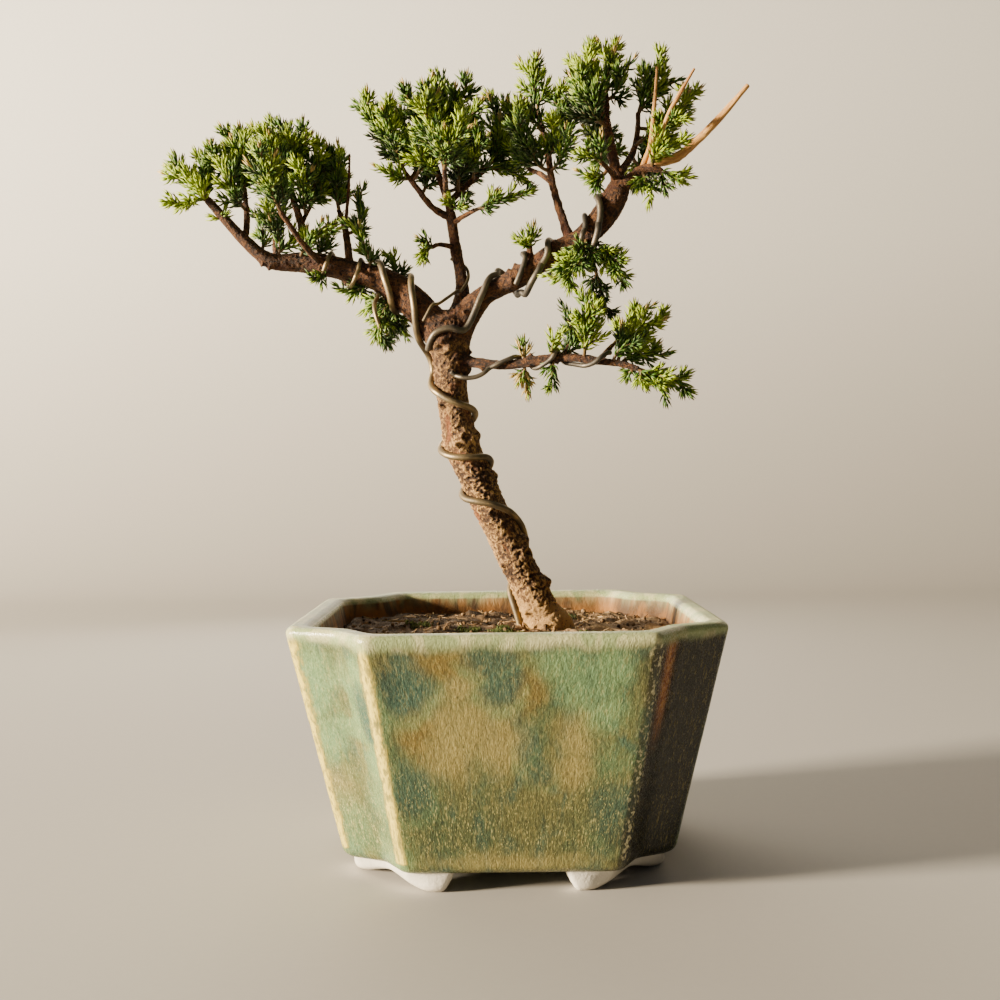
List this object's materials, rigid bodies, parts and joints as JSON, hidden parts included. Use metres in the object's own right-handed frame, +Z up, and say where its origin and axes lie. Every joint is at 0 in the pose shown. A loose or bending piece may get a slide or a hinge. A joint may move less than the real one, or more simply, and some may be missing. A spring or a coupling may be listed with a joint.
{
  "type": "juniper bonsai in a pot",
  "caption": "Small wired juniper bonsai with a leaning trunk, tiered foliage and bare deadwood tips, in a square glazed pot with pushed-in corners.",
  "frame": {"origin": "on the surface that the pot's feet stand on, under the middle of the whole part's plan; the middle of the pot lies 19 mm from it towards +X", "axes": "+Z up the tree, -Y towards the viewer of the tree's front, +X to the right of that viewer"},
  "size_m": [0.215, 0.1492, 0.3016],
  "materials": {
    "glaze": "gloss",
    "soil": "matte",
    "bark": "matte",
    "wire": "satin",
    "foliage": "matte"
  },
  "bodies": {
    "root": {"pot": "glaze", "soil": "soil", "trunk": "bark", "wire_main": "wire", "wire_right": "wire", "wire_right_second": "wire", "wire_left": "wire", "wire_low": "wire", "wire_thin": "wire", "left_tip": "foliage", "left_front": "foliage", "left_rise": "foliage", "left_back": "foliage", "left_near": "foliage", "left_crown": "foliage", "left_inner": "foliage", "left_spire": "foliage", "left_spire_side": "foliage", "left_top_outer": "foliage", "left_top_inner": "foliage", "left_cluster": "foliage", "left_under": "foliage", "left_fork": "foliage", "centre_left": "foliage", "centre_side": "foliage", "centre_top": "foliage", "centre_near": "foliage", "centre_right": "foliage", "centre_right_near": "foliage", "centre_back": "foliage", "centre_low": "foliage", "centre_scale": "foliage", "right_first": "foliage", "second_top": "foliage", "second_right": "foliage", "second_left": "foliage", "second_back": "foliage", "second_low": "foliage", "third_top": "foliage", "third_left": "foliage", "third_right": "foliage", "third_low": "foliage", "third_back": "foliage", "fourth_top": "foliage", "fourth_right": "foliage", "fourth_low": "foliage", "right_end": "foliage", "right_jin": "foliage", "hang_near": "foliage", "hang_middle": "foliage", "hang_far": "foliage", "low_under_near": "foliage", "low_under_far": "foliage", "low_bright": "foliage", "low_dark": "foliage", "low_big": "foliage", "low_upright": "foliage", "low_far": "foliage", "low_tip": "foliage"}
  },
  "joints": []
}
